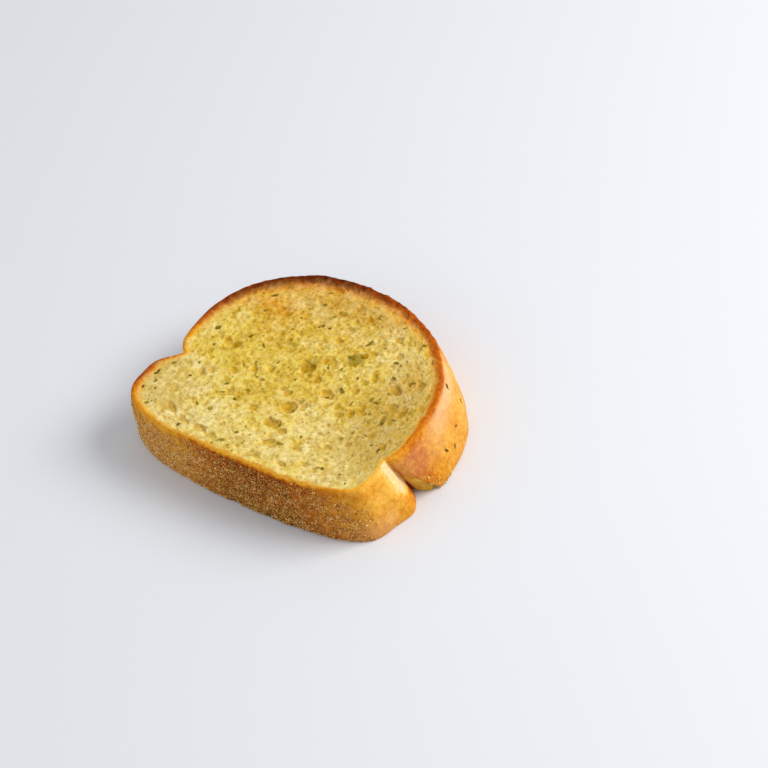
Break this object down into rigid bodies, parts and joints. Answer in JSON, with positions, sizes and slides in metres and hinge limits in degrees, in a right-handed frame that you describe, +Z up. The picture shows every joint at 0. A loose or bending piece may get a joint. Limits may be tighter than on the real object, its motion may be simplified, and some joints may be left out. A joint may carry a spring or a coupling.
{
  "type": "slice of garlic bread",
  "caption": "Thick slice of soft white garlic bread from a dome-topped loaf, lying flat, with a buttered crumb face, browned crust rim, waisted sides and herb flakes.",
  "frame": {"origin": "bottom centre of the slice's bounding box, on the surface that it lies on", "axes": "+X along the loaf's flat base, +Y from that base towards the domed top, +Z up through the slice's thickness, out of the buttered face"},
  "size_m": [0.125, 0.1004, 0.026],
  "materials": {
    "bread": "matt, buttered and toasted bread crumb"
  },
  "bodies": {
    "root": {"garlic_bread": "bread"}
  },
  "joints": []
}
